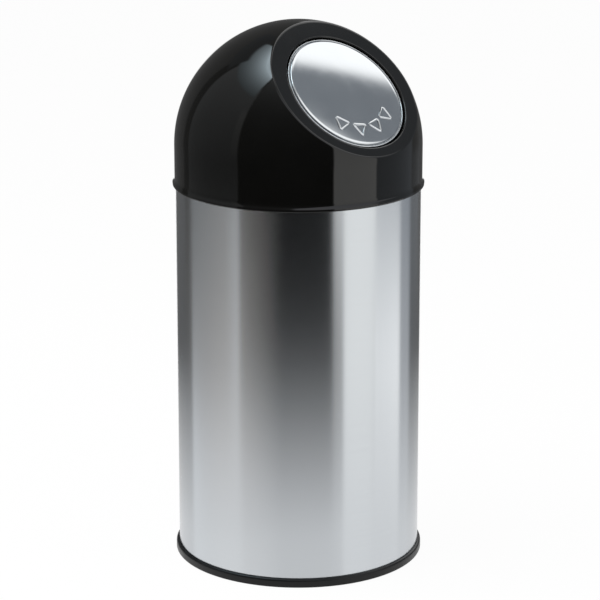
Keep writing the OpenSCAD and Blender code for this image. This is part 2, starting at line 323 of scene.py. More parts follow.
def rivet_tree():
    """Puts a domed head on each point, facing along the point's 'facing'."""
    tree, given = tree_with_inputs("Rivet heads", radius="Float", height="Float")
    ball = add(tree, "GeometryNodeMeshUVSphere", {"Segments": 28, "Rings": 14, "Radius": given["radius"]})
    place = add(tree, "ShaderNodeSeparateXYZ", {0: add(tree, "GeometryNodeInputPosition")}).outputs
    share = calculate(tree, "DIVIDE", given["height"], given["radius"])
    rise = calculate(tree, "MULTIPLY", calculate(tree, "MAXIMUM", place["Z"], 0.0), share)
    flattened = add(tree, "ShaderNodeCombineXYZ", {"X": place["X"], "Y": place["Y"], "Z": rise})
    head = add(tree, "GeometryNodeSetPosition", {"Geometry": ball, "Position": flattened})
    aligned = add(tree, "FunctionNodeAlignRotationToVector", {"Vector": carried(tree, "facing")}, axis="Z")
    return end_tree(tree, given, on_points(tree, given, head, aligned))


def mark_tree():
    """Puts the outline of an arrowhead on each point as a low bead, its tip along the point's 'pointing'."""
    tree, given = tree_with_inputs("Raised arrowheads", size="Float", line="Float")
    triangle = add(tree, "GeometryNodeCurvePrimitiveCircle", {"Resolution": 3, "Radius": given["size"]})
    corner = {"Curve": triangle, "Count": 5, "Radius": calculate(tree, "MULTIPLY", given["size"], 0.16)}
    rounded = add(tree, "GeometryNodeFilletCurve", corner, mode="POLY")
    bead = add(tree, "GeometryNodeCurvePrimitiveCircle", {"Resolution": 12, "Radius": given["line"]})
    line = add(tree, "GeometryNodeCurveToMesh", {"Curve": rounded, "Profile Curve": bead})
    low_line = add(tree, "GeometryNodeTransform", {"Geometry": line, "Scale": (1.0, 1.0, 0.62)})
    tipped = add(tree, "FunctionNodeAlignRotationToVector", {"Vector": carried(tree, "pointing")}, axis="X")
    upright = {"Rotation": tipped, "Vector": carried(tree, "facing")}
    aligned = add(tree, "FunctionNodeAlignRotationToVector", upright, axis="Z", pivot_axis="X")
    return end_tree(tree, given, on_points(tree, given, low_line, aligned))


TREES = {}


def placed(name, data):
    """An object at the origin, in the scene."""
    made = bpy.data.objects.new(name, data)
    bpy.context.scene.collection.objects.link(made)
    return made


def evaluated(holder):
    """The plain mesh of an object, after which the object goes."""
    graph = bpy.context.evaluated_depsgraph_get()
    made = bpy.data.meshes.new_from_object(holder.evaluated_get(graph), depsgraph=graph)
    bpy.data.objects.remove(holder)
    return made


def grow(maker, mesh, slot, **values):
    """The plain mesh that a tree makes of a mesh, in a finish. Each tree is built once, and its inputs are
    set by identifier."""
    if maker not in TREES:
        TREES[maker] = maker()
    values["material"] = finish(slot)
    holder = placed("holder", mesh)
    modifier = holder.modifiers.new("nodes", "NODES")
    modifier.node_group = TREES[maker]
    for item in modifier.node_group.interface.items_tree:
        if item.in_out == "INPUT" and item.name in values:
            modifier[item.identifier] = values[item.name]
    made = evaluated(holder)
    bpy.data.meshes.remove(mesh)
    return made


# ---------------------------------------------------------------- meshes


def arc(centre, radius, start, end, steps):
    """Points of an arc between two angles in degrees, both ends included."""
    angles = [math.radians(start + (end - start) * k / steps) for k in range(steps + 1)]
    return [(centre[0] + radius * math.cos(a), centre[1] + radius * math.sin(a)) for a in angles]


def circle(x, y, radius, steps=32):
    """Points of a full circle."""
    return arc((x, y), radius, 0, 360 - 360 / steps, steps - 1)


def outline(corners, closed=True):
    """Points of an outline from its corners (across, up, rounding). A rounded corner becomes an arc, and a
    long straight stretch gets a point near each end."""
    stretches = []
    for i, (x, y, rounding) in enumerate(corners):
        here = Vector((x, y))
        if rounding <= 0 or (not closed and i in (0, len(corners) - 1)):
            stretches.append([here])
            continue
        back = (Vector(corners[i - 1][:2]) - here).normalized()
        on = (Vector(corners[(i + 1) % len(corners)][:2]) - here).normalized()
        half = back.angle(on) / 2
        centre = here + (back + on).normalized() * (rounding / math.sin(half))
        first = here + back * (rounding / math.tan(half)) - centre
        last = here + on * (rounding / math.tan(half)) - centre
        sweep = math.atan2(first.x * last.y - first.y * last.x, first.dot(last))
        steps = max(3, round(abs(sweep) / ARC_STEP))
        stretches.append([centre + Matrix.Rotation(sweep * k / steps, 2) @ first for k in range(steps + 1)])
    points = []
    for i, stretch in enumerate(stretches):
        points += stretch
        if i + 1 == len(stretches) and not closed:
            break
        end, start = stretch[-1], stretches[(i + 1) % len(stretches)][0]
        gap = start - end
        if gap.length > 5 * HOLD:
            points += [end + gap.normalized() * HOLD, start - gap.normalized() * HOLD]
    return [tuple(point) for point in points]


def both_sides(half):
    """Corners of a shape with two like sides, from those of its right side, from the foot up."""
    return half + [(-x, y, rounding) for x, y, rounding in half[::-1]]


def mesh_of(name, verts, faces=(), edges=()):
    mesh = bpy.data.meshes.new(name)
    mesh.from_pydata(verts, edges, faces)
    return mesh


def net(rows, columns, joined=False):
    """Faces between rows of points. Each row closes on itself. Where joined, the last row meets the first."""
    faces = []
    for i in range(rows if joined else rows - 1):
        here, there = i * columns, (i + 1) % rows * columns
        for k in range(columns):
            n = (k + 1) % columns
            faces.append((here + k, here + n, there + n, there + k))
    return faces


def moved(mesh, matrix):
    mesh.transform(matrix)
    return mesh


def turned(slot, points, closed=True, columns=COLUMNS):
    """A turned piece from its outline at one side, which starts and ends on the axis if it isn't closed."""
    edges = [(i, i + 1) for i in range(len(points) - 1)]
    if closed:
        edges.append((len(points) - 1, 0))
    section = mesh_of("section", [(x, 0, z) for x, z in points], edges=edges)
    return grow(lathe_tree, section, slot, columns=columns, closed=int(closed))


def ring(slot, corners, **more):
    """A turned ring from the corners of its section."""
    return turned(slot, outline(corners), **more)


def disc(slot, corners, **more):
    """A turned disc or bar from the corners of its section, which starts and ends on the axis."""
    return turned(slot, outline(corners, closed=False), closed=False, **more)


def plate(corners, bottom, top, bevel, hole=None):
    """A flat plate between two heights with rounded edges, and a round hole (across, up, radius) where one is
    given."""
    curve = bpy.data.curves.new("plate", "CURVE")
    curve.dimensions = "2D"
    curve.fill_mode = "BOTH"
    curve.extrude = (top - bottom) / 2 - bevel
    curve.bevel_depth = bevel
    curve.bevel_resolution = 2
    curve.offset = -bevel
    for shape in [outline(corners)] + ([circle(*hole)] if hole else []):
        spline = curve.splines.new("POLY")
        spline.points.add(len(shape) - 1)
        for point, (x, y) in zip(spline.points, shape):
            point.co = (x, y, 0, 1)
        spline.use_cyclic_u = True
    mesh = evaluated(placed("holder", curve))
    bpy.data.curves.remove(curve)
    return moved(mesh, Matrix.Translation(UP * (bottom + top) / 2))


def on_edge(mesh, x=0):
    """Stands a plate on its edge: its own x, y and z become y, z and x."""
    return moved(mesh, Matrix(((0, 0, 1, x), (1, 0, 0, 0), (0, 1, 0, 0), (0, 0, 0, 1))))


def bent_round(mesh, radius, spacing=2 * MM):
    """Bends a plate on its edge (y across, x its thickness) round Z, so that x = 0 lies on the radius."""
    form = bmesh.new()
    form.from_mesh(mesh)
    cuts = int(max(abs(v.co.y) for v in form.verts) / spacing)
    for k in range(-cuts, cuts + 1):
        parts = form.verts[:] + form.edges[:] + form.faces[:]
        bmesh.ops.bisect_plane(form, geom=parts, plane_co=(0, k * spacing, 0), plane_no=(0, 1, 0))
    for v in form.verts:
        angle = v.co.y / radius
        reach = radius + v.co.x
        v.co = (reach * math.cos(angle), reach * math.sin(angle), v.co.z)
    form.to_mesh(mesh)
    form.free()
    return mesh


def wire(path, radius, sides):
    """A round wire along a path with rounded ends. Its rings are carried along the path without twisting."""
    path = [Vector(p) for p in path]
    last = len(path) - 1
    tangents = [(path[min(i + 1, last)] - path[max(i - 1, 0)]).normalized() for i in range(last + 1)]
    side = tangents[0].orthogonal().normalized()
    round_ends = {0: (-1.45, -1.05, -0.55, 0), last: (0, 0.55, 1.05, 1.45)}
    verts = []
    for i, (point, along) in enumerate(zip(path, tangents)):
        side = (side - along * side.dot(along)).normalized()
        up = along.cross(side)
        for lean in round_ends.get(i, (0,)):
            middle = point + along * radius * math.sin(lean)
            for k in range(sides):
                a = math.tau * k / sides
                out = side * math.cos(a) + up * math.sin(a)
                verts.append(middle + out * radius * math.cos(lean))
    ends = [tuple(range(sides))[::-1], tuple(range(len(verts) - sides, len(verts)))]
    return mesh_of("wire", verts, net(len(verts) // sides, sides) + ends)


def points_with(places, **attributes):
    """A mesh of loose points, with vector attributes."""
    mesh = mesh_of("points", places)
    for name, vectors in attributes.items():
        attribute = mesh.attributes.new(name, "FLOAT_VECTOR", "POINT")
        for item, vector in zip(attribute.data, vectors):
            item.vector = vector
    return mesh


def rivets(places, facing, radius, height):
    """Bright rivet heads."""
    return grow(rivet_tree, points_with(places, facing=facing), "bright_wire", radius=radius, height=height)


def piece(name, node, body, slot, *meshes, matrix=None):
    """Joins meshes into one finished piece, puts its place into its vertices, and ties it to the frame."""
    form = bmesh.new()
    for mesh in meshes:
        form.from_mesh(mesh)
        bpy.data.meshes.remove(mesh)
    if not form.faces:
        raise RuntimeError(f"{name} has no faces")
    bmesh.ops.transform(form, matrix=matrix or Matrix(), verts=form.verts)
    bmesh.ops.recalc_face_normals(form, faces=form.faces)
    for face in form.faces:
        face.smooth = True
        face.material_index = 0
    for edge in form.edges:
        edge.smooth = len(edge.link_faces) == 2 and edge.calc_face_angle(0) < SHARP
    mesh = bpy.data.meshes.new(name)
    form.to_mesh(mesh)
    form.free()
    mesh.materials.append(finish(slot))
    made = placed(name, mesh)
    if body:
        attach(made, body)
    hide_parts(node)
    return made


def flat_frame(dome):
    """The flat's own frame, round the ball's centre: y runs up the slope, and z along the flat's normal."""
    return Matrix.Translation((0, 0, dome.top - dome.radius)) @ Matrix.Rotation(dome.tilt, 4, "X")


def flat_height(dome):
    """Height of the rounded edge's middle and of the flat itself above the ball's centre."""
    edge = math.sqrt((dome.radius - dome.edge_radius) ** 2 - dome.flat_radius**2)
    return edge, edge + dome.edge_radius


# ---------------------------------------------------------------- finishes

# The range that holds most of a noise's values
MOST = (0.3, 0.7)


def per_mm(size):
    """The texture scale at which a pattern repeats every so many millimetres."""
    return 1 / (size * MM)


def noise(tree, detail, *sizes):
    """Noise whose grain is so many millimetres along x, y and z of the object, or in all three alike."""
    place = add(tree, "ShaderNodeTexCoord").outputs["Object"]
    scale = [per_mm(size) for size in (sizes * 3)[:3]]
    scaled = add(tree, "ShaderNodeMapping", {"Vector": place, "Scale": scale})
    return add(tree, "ShaderNodeTexNoise", {"Vector": scaled, "Scale": 1.0, "Detail": detail}).outputs["Fac"]


def spread(tree, value, start, end, new_start=0.0, new_end=1.0):
    """Maps a value from one range to another."""
    inputs = {0: value, 1: start, 2: end, 3: new_start, 4: new_end}
    return add(tree, "ShaderNodeMapRange", inputs)


def tinted(tree, base, share, dark):
    """The base colour, darkened towards the given part of itself where the share is low."""
    inputs = {"Factor": share, 6: [c * dark for c in base] + [1], 7: [*base, 1]}
    return add(tree, "ShaderNodeMix", inputs, data_type="RGBA").outputs[2]


def bump(tree, relief, strength, height):
    """A bump from a relief so many millimetres high."""
    return add(tree, "ShaderNodeBump", {"Height": relief, "Strength": strength, "Distance": height * MM})


# Each finish gives the sockets of its one shader: constants as they are, and patterns as nodes.


def brushed_stainless(tree, colours):
    # Cold rolled stainless sheet, finely brushed round the drum: reflections blur more up and down than
    # sideways. The brush lines are 0.3 mm apart on the real sheet, and drawn at 1.3 mm to show.
    lines = noise(tree, 3, 70, 70, 1.3)
    clouds = calculate(tree, "MULTIPLY", noise(tree, 2, 240, 240, 160), 0.4)
    tone = calculate(tree, "ADD", calculate(tree, "MULTIPLY", lines, 0.6), clouds)
    return {
        "Metallic": 1.0,
        "Anisotropic": 0.65,
        "Anisotropic Rotation": 0.25,
        "Tangent": add(tree, "ShaderNodeTangent", direction_type="RADIAL", axis="Z"),
        "Base Color": tinted(tree, colours.stainless, spread(tree, tone, *MOST), 0.97),
        "Roughness": spread(tree, lines, *MOST, 0.19, 0.2),
        "Normal": bump(tree, lines, 0.02, 0.02),
    }


def polished_stainless(tree, colours):
    # Pressed stainless sheet with a fine satin polish: it mirrors the room softly, and its edge is the
    # brightest. The polish lines run across the disc, 0.2 mm apart, drawn at 0.9 mm.
    clouds = noise(tree, 2, 30)
    return {
        "Metallic": 1.0,
        "Base Color": tinted(tree, colours.polished, spread(tree, clouds, *MOST), 0.96),
        "Roughness": spread(tree, clouds, *MOST, 0.06, 0.085),
        "Normal": bump(tree, noise(tree, 2, 0.9, 60, 60), 0.04, 0.01),
    }


def gloss_black(tree, colours):
    # Stoved gloss enamel on steel: a near-black colour under a mirror of 4 per cent, with a very slight
    # orange peel about 4 mm wide.
    haze = noise(tree, 3, 35)
    return {
        "IOR": 1.5,
        "Base Color": tinted(tree, colours.enamel, spread(tree, haze, *MOST), 0.85),
        "Roughness": spread(tree, haze, 0.35, 0.75, 0.035, 0.06),
        "Normal": bump(tree, noise(tree, 1, 4), 0.05, 0.02),
    }


def satin_black(tree, colours):
    # Electro-dipped black coat on pressed steel: an even satin sheen with a fine grain of 0.5 mm, drawn at
    # 0.8 mm.
    wear = noise(tree, 3, 18)
    return {
        "IOR": 1.5,
        "Base Color": tinted(tree, colours.satin, spread(tree, wear, *MOST), 0.8),
        "Roughness": spread(tree, wear, *MOST, 0.36, 0.46),
        "Normal": bump(tree, noise(tree, 2, 0.8), 0.2, 0.03),
    }


def black_plastic(tree, colours):
    # Moulded polypropylene with a low sheen: the mould's spark-eroded grain is 0.4 mm, drawn at 0.7 mm.
    scuffs = noise(tree, 3, 22, 22, 9)
    return {
        "IOR": 1.49,
        "Specular IOR Level": 0.3,
        "Base Color": tinted(tree, colours.plastic, spread(tree, scuffs, *MOST), 0.8),
        "Roughness": spread(tree, scuffs, *MOST, 0.28, 0.38),
        "Normal": bump(tree, noise(tree, 2, 0.7), 0.15, 0.03),
    }


def black_rubber(tree, colours):
    # Moulded rubber: matt, with a soft grain of 0.6 mm.
    grain = noise(tree, 2, 0.6)
    return {
        "IOR": 1.52,
        "Base Color": tinted(tree, colours.rubber, spread(tree, grain, *MOST), 0.75),
        "Roughness": spread(tree, grain, *MOST, 0.66, 0.8),
        "Normal": bump(tree, grain, 0.3, 0.04),
    }


def galvanised(tree, colours):
    # Hot-dip galvanised sheet: flat zinc crystals about 9 mm across, each with its own shade and shine, under
    # a thin pale film of oxide, which takes part of the mirror away.
    place = add(tree, "ShaderNodeTexCoord").outputs["Object"]
    crystals = add(tree, "ShaderNodeTexVoronoi", {"Vector": place, "Scale": per_mm(9), "Randomness": 1.0})
    shade = add(tree, "ShaderNodeSeparateColor", {0: crystals.outputs["Color"]}).outputs
    return {
        "Metallic": 0.65,
        "Base Color": tinted(tree, colours.zinc, shade[0], 0.72),
        "Roughness": spread(tree, shade[1], 0, 1, 0.3, 0.5),
        "Normal": bump(tree, noise(tree, 2, 1.1), 0.15, 0.03),
    }


def bright_wire(tree, colours):
    # Drawn steel wire, zinc plated: bright, with faint specks of duller plating about 3 mm apart.
    specks = noise(tree, 3, 3)
    return {
        "Metallic": 1.0,
        "Base Color": tinted(tree, colours.wire, spread(tree, specks, 0.35, 0.65), 0.82),
        "Roughness": spread(tree, specks, 0.35, 0.65, 0.34, 0.22),
        "Normal": bump(tree, specks, 0.1, 0.02),
    }


def spring_steel(tree, colours):
    # Hard drawn spring wire: a duller grey than plated wire, slightly mottled every 2 mm.
    mottle = noise(tree, 2, 2)
    return {
        "Metallic": 1.0,
        "Base Color": tinted(tree, colours.spring, spread(tree, mottle, 0.35, 0.65), 0.7),
        "Roughness": spread(tree, mottle, 0.35, 0.65, 0.42, 0.28),
        "Normal": bump(tree, mottle, 0.1, 0.02),
    }


FINISHES = {
    "brushed_stainless": ("brushed stainless", brushed_stainless),
    "polished_stainless": ("polished stainless", polished_stainless),
    "gloss_black": ("gloss black enamel", gloss_black),
    "satin_black": ("satin black coat", satin_black),
    "black_plastic": ("moulded black polypropylene", black_plastic),
    "black_rubber": ("black rubber", black_rubber),
    "galvanised": ("galvanised sheet", galvanised),
    "bright_wire": ("bright plated wire", bright_wire),
    "spring_steel": ("spring wire", spring_steel),
}
MADE = {}


def finish(slot):
    """The finish of a material slot, made once."""
    if slot not in MADE:
        name, sockets = FINISHES[slot]
        MADE[slot] = bpy.data.materials.new(name)
        tree = cleared(MADE[slot])
        colours = bpy.context.scene.receptacle.finishes
        shader = add(tree, "ShaderNodeBsdfPrincipled", sockets(tree, colours))
        add(tree, "ShaderNodeOutputMaterial", {"Surface": shader})
    return MADE[slot]


# ---------------------------------------------------------------- the bin: drum, pan and foot ring


class RECEPTACLE_OT_drum(bpy.types.Operator):
    """Makes the steel drum with its rolled top edge and the folded joint at its back"""

    bl_idname = "receptacle.drum"
    bl_label = "Drum"

    curl_end = 235
    # The joint is a flat fold inside, which starts above the pan, and a narrow lap a little proud outside
    fold_start = 14 * MM
    lap_width, lap_depth, lap_proud = 5 * MM, 0.6 * MM, 0.3 * MM

    def execute(self, context):
        s = context.scene.receptacle.drum
        inside = s.radius - s.sheet
        curl_x, curl_z = s.radius - s.curl, s.top - s.curl
        wall = outline([(s.radius, s.foot, 0), (s.radius, curl_z, 0)], closed=False)
        wall += arc((curl_x, curl_z), s.curl, 0, self.curl_end, 20)[1:]
        wall += arc((curl_x, curl_z), s.curl - s.sheet, self.curl_end, 0, 18)
        wall += outline([(inside, curl_z, 0), (inside, s.foot, 0)], closed=False)[1:]
        sheet = turned("brushed_stainless", wall)
        fold_low, fold_high = s.foot + self.fold_start, s.top - 3 * s.curl
        fold = self.strip(s.fold_width, fold_low, fold_high, s.fold_depth, inside - s.fold_depth)
        lap = self.strip(self.lap_width, s.ring_height, curl_z, self.lap_depth, s.radius - self.lap_proud)
        piece("drum_wall", "body_shell", "bin", "brushed_stainless", sheet, fold, lap)
        return {"FINISHED"}

    def strip(self, width, bottom, top, thickness, radius):
        """An upright strip with rounded edges, bent round the drum's back."""
        corners = both_sides([(width / 2, bottom, 0), (width / 2, top, 0)])
        strip = bent_round(on_edge(plate(corners, 0, thickness, thickness * 0.4)), radius)
        return moved(strip, Matrix.Rotation(math.radians(90), 4, "Z"))


class RECEPTACLE_OT_foot(bpy.types.Operator):
    """Makes the plastic foot ring and the pressed pan that closes the drum"""

    bl_idname = "receptacle.foot"
    bl_label = "Foot ring and pan"

    # How high the foot ring stands inside the drum, and how wide the pan's step is
    ledge = 6 * MM
    step_width = 6 * MM

    def execute(self, context):
        s = context.scene.receptacle.drum
        t = s.sheet
        edge, inside = s.radius - t, s.radius - 2 * t
        ledge = s.ring_floor + self.ledge
        ring_corners = [
            (s.ring_inside, 0, 1 * MM),
            (s.ring_radius, 0, 1.6 * MM),
            (s.ring_radius, s.ring_height, 3.5 * MM),
            (s.radius, s.ring_height, 0.5 * MM),
            (s.radius, s.ring_floor, 0),
            (inside, s.ring_floor, 0),
            (inside, ledge, 0.8 * MM),
            (s.ring_inside, ledge, 0.8 * MM),
        ]
        foot = ring("black_plastic", ring_corners)
        piece("foot_ring_moulded", "foot_ring", "bin", "black_plastic", foot)
        step_end = s.pan_step + self.step_width
        pan_corners = [
            (0, s.pan_high, 0),
            (s.pan_step, s.pan_high, 2 * MM),
            (step_end, s.pan_low, 2 * MM),
            (inside, s.pan_low, 1.5 * MM),
            (inside, s.ring_floor, 0),
            (edge, s.ring_floor, 0),
            (edge, s.pan_low + t, 2 * MM),
            (step_end, s.pan_low + t, 2.5 * MM),
            (s.pan_step, s.pan_high + t, 2.5 * MM),
            (0, s.pan_high + t, 0),
        ]
        piece("bottom_pan_pressed", "bottom_pan", "bin", "galvanised", disc("galvanised", pan_corners))
        return {"FINISHED"}


# ---------------------------------------------------------------- the dome


class RECEPTACLE_OT_dome(bpy.types.Operator):
    """Makes the dome as one skin: lip, hole, flat, rounded edge, ball, skirt and hem, outside and inside"""

    bl_idname = "receptacle.dome"
    bl_label = "Dome"

    columns = 240
    ball_rows = 44

    def execute(self, context):
        s = context.scene.receptacle.dome
        hem = self.hem(s)
        verts = []
        for k in range(self.columns):
            turn = math.tau * k / self.columns
            around = Vector((math.cos(turn), math.sin(turn), 0))
            skirt = [around * r + UP * z for r, z in hem]
            verts += self.skin(s, around, 0) + skirt + self.skin(s, around, s.sheet)[::-1]
        rows = len(verts) // self.columns
        mesh = mesh_of("dome", verts, net(self.columns, rows, joined=True))
        piece("dome_enamelled", "dome_shell", "dome", "gloss_black", mesh)
        return {"FINISHED"}

    def hem(self, s):
        """The skirt, its flared hem with a rolled edge, and the skirt's inside."""
        inside, start = s.radius - s.sheet, s.top - s.radius - 0.2 * MM
        corners = [
            (s.radius, start, 0),
            (s.radius, s.foot + s.hem_height - 1.5 * MM, 9 * MM),
            (s.hem_radius, s.foot + 3.4 * MM, 1.54 * MM),
            (s.hem_radius, s.foot, 1.21 * MM),
            (inside, s.foot, 0.6 * MM),
            (inside, start, 0),
        ]
        return outline(corners, closed=False)

    def skin(self, s, around, depth):
        """Lip, flat, rounded edge and ball in one direction round the flat, so far under the outside."""
        edge_z, flat_z = flat_height(s)
        lip_x, lip_z = s.hole_radius + depth, flat_z - s.lip_radius
        lip = [(lip_x, flat_z - s.lip_depth + 0.15 * MM), (lip_x, lip_z - 0.8 * MM)]
        if depth == 0:
            lip.insert(0, (s.hole_radius + s.sheet / 2, flat_z - s.lip_depth))
        rim = s.hole_radius + s.lip_radius
        lip += arc((rim, lip_z), s.lip_radius - depth, 180, 90, 9)
        hole = Vector((0, -s.hole_drop, 0))
        points = [hole + around * r + UP * z for r, z in lip]
        start = hole + around * rim + UP * (flat_z - depth)
        end = around * s.flat_radius + UP * (flat_z - depth)
        points += [start.lerp(end, share) for share in (0.09, 0.3, 0.7, 0.91)]
        fall = math.degrees(math.atan2(s.flat_radius, edge_z))
        edge = arc((s.flat_radius, edge_z), s.edge_radius - depth, 90, 90 - fall, 8)
        points += [around * r + UP * z for r, z in edge]
        to_world = flat_frame(s)
        points = [to_world @ point for point in points]
        centre = UP * (s.top - s.radius)
        first = (points[-1] - centre).normalized()
        sweep = first.angle(around)
        for row in range(1, self.ball_rows + 1):
            a = sweep * row / self.ball_rows
            on_ball = (first * math.sin(sweep - a) + around * math.sin(a)) / math.sin(sweep)
            points.append(centre + on_ball * (s.radius - depth))
        return points


class RECEPTACLE_OT_seat_ring(bpy.types.Operator):
    """Makes the plastic ring inside the dome's skirt, which rests on the drum's rolled edge"""

    bl_idname = "receptacle.seat_ring"
    bl_label = "Seat ring"

    # The gaps above the drum's edge and inside its curl, and the thickness of spigot, wall and seat
    rest, clearance = 0.3 * MM, 0.5 * MM
    spigot, wall, seat = 1.7 * MM, 2 * MM, 3 * MM

    def execute(self, context):
        sizes = context.scene.receptacle
        s, drum = sizes.dome, sizes.drum
        outside = s.radius - s.sheet
        seat = drum.top + self.rest
        guide = drum.radius - 2 * drum.curl - self.clearance
        corners = [
            (guide - self.spigot, s.seat_low, 0.5 * MM),
            (guide - 0.7 * MM, s.seat_low, 0.3 * MM),
            (guide, s.seat_low + 3 * MM, 0.6 * MM),
            (guide, seat, 0.4 * MM),
            (outside, seat, 0.5 * MM),
            (outside, s.seat_high, 0.5 * MM),
            (outside - self.wall, s.seat_high, 0.7 * MM),
            (outside - self.wall, seat + self.seat, 1 * MM),
            (guide - self.spigot, seat + self.seat, 0.8 * MM),
        ]
        moulded = ring("black_plastic", corners)
        piece("seat_ring_moulded", "dome_seat_ring", "dome", "black_plastic", moulded)
        return {"FINISHED"}


class RECEPTACLE_OT_hinge(bpy.types.Operator):
    """Makes the hinge behind the flat's top: two brackets, the pin, its caps and the two springs"""

    bl_idname = "receptacle.hinge"
    bl_label = "Hinge and springs"

    # Places up the slope from the flat's middle: the brackets' ears and feet, and the springs' ends
    ear_front, ear_back = 84 * MM, 103.5 * MM
    foot_front, foot_back = 80 * MM, 98 * MM
    dome_leg, flap_leg = 80 * MM, 66 * MM
    foot_width = 12 * MM
    cap_radius, cap_length = 5 * MM, 1.5 * MM
    coil_turns, coil_steps = 7.5, 165

    def execute(self, context):
        sizes = context.scene.receptacle
        s, dome, flap = sizes.hinge, sizes.dome, sizes.flap
        on_flat = flat_frame(dome)
        pin = on_flat.inverted() @ FLAP_PIN
        flat_z = flat_height(dome)[1]
        roof = flat_z - dome.sheet
        strap = flat_z - flap.sunk - flap.rim - flap.strap
        for name, side in (("right", 1), ("left", -1)):
            mirror = Matrix.Diagonal((side, 1, 1, 1))
            parts = [moved(mesh, mirror) for mesh in self.bracket(s, pin, roof)]
            piece("bracket_" + name, "hinge_bracket_" + name, "dome", "satin_black", *parts, matrix=on_flat)
            path = [(side * x, y, z) for x, y, z in self.spring(s, pin, roof, strap)]
            node = "return_spring_" + name
            coil = wire(path, s.wire, 12)
            spring = piece("torsion_spring_" + name, node, None, "spring_steel", coil, matrix=on_flat)
            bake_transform(spring)
        to_pin = on_flat @ Matrix.Translation(pin) @ ALONG_X
        half, bevel = s.pin_half, 0.5 * MM
        rod_corners = [(0, -half, 0), (s.pin, -half, bevel), (s.pin, half, bevel), (0, half, 0)]
        rod = disc("bright_wire", rod_corners, columns=32)
        piece("hinge_pin_turned", "hinge_pin", "dome", "bright_wire", rod, matrix=to_pin)
        caps = [self.cap(s, side) for side in (1, -1)]
        piece("push_on_caps", "pin_caps", "dome", "bright_wire", *caps, matrix=to_pin)
        return {"FINISHED"}

    def cap(self, s, side):
        """A push-on cap against the outside of one ear."""
        start = s.ear_x + s.plate
        end = start + self.cap_length
        corners = [
            (s.pin, start, 0),
            (self.cap_radius, start, 0.3 * MM),
            (self.cap_radius - 0.6 * MM, end, 0.7 * MM),
            (s.pin + 0.6 * MM, end, 0.3 * MM),
            (s.pin, end - 0.6 * MM, 0),
        ]
        return moved(ring("bright_wire", corners, columns=40), Matrix.Diagonal((1, 1, side, 1)))

    def bracket(self, s, pin, roof):
        """An ear with the pin's hole, and its foot under the flat."""
        top, bottom, corner = roof - 0.8 * MM, pin.z - 6.5 * MM, 6.4 * MM
        ear_corners = [
            (self.ear_front, top, 0),
            (self.ear_front, bottom, corner),
            (self.ear_back, bottom, corner),
            (self.ear_back, pin.z + 0.45 * (roof - pin.z), 3 * MM),
            (self.foot_back, top, 0),
        ]
        ear = plate(ear_corners, 0, s.plate, 0.25 * MM, (pin.y, pin.z, s.pin + 0.02 * MM))
        left, right = s.ear_x, s.ear_x + self.foot_width
        foot_corners = [
            (left, self.foot_front, 1 * MM),
            (right, self.foot_front, 3 * MM),
            (right, self.foot_back, 3 * MM),
            (left, self.foot_back, 1 * MM),
        ]
        return on_edge(ear, s.ear_x), plate(foot_corners, roof - s.plate, roof, 0.3 * MM)

    def spring(self, s, pin, roof, strap):
        """A leg under the flat, the coil round the pin, and a leg under the flap's strap."""
        first, last, clear = s.coil_end - s.wire, s.coil_start + s.wire, s.wire + 0.3 * MM
        path = [Vector((first, self.dome_leg, roof - clear))]
        start = Vector((first, pin.y - 0.5 * MM, pin.z + s.coil))
        path += [path[0].lerp(start, share) for share in (0.3, 0.7)]
        for k in range(self.coil_steps + 1):
            share = k / self.coil_steps
            a = math.tau * self.coil_turns * share
            x = first + (last - first) * share
            path.append(Vector((x, pin.y + s.coil * math.sin(a), pin.z + s.coil * math.cos(a))))
        end = Vector((last, self.flap_leg, strap - clear))
        return path + [path[-1].lerp(end, share) for share in (0.25, 0.6, 1.0)]


# ---------------------------------------------------------------- the flap


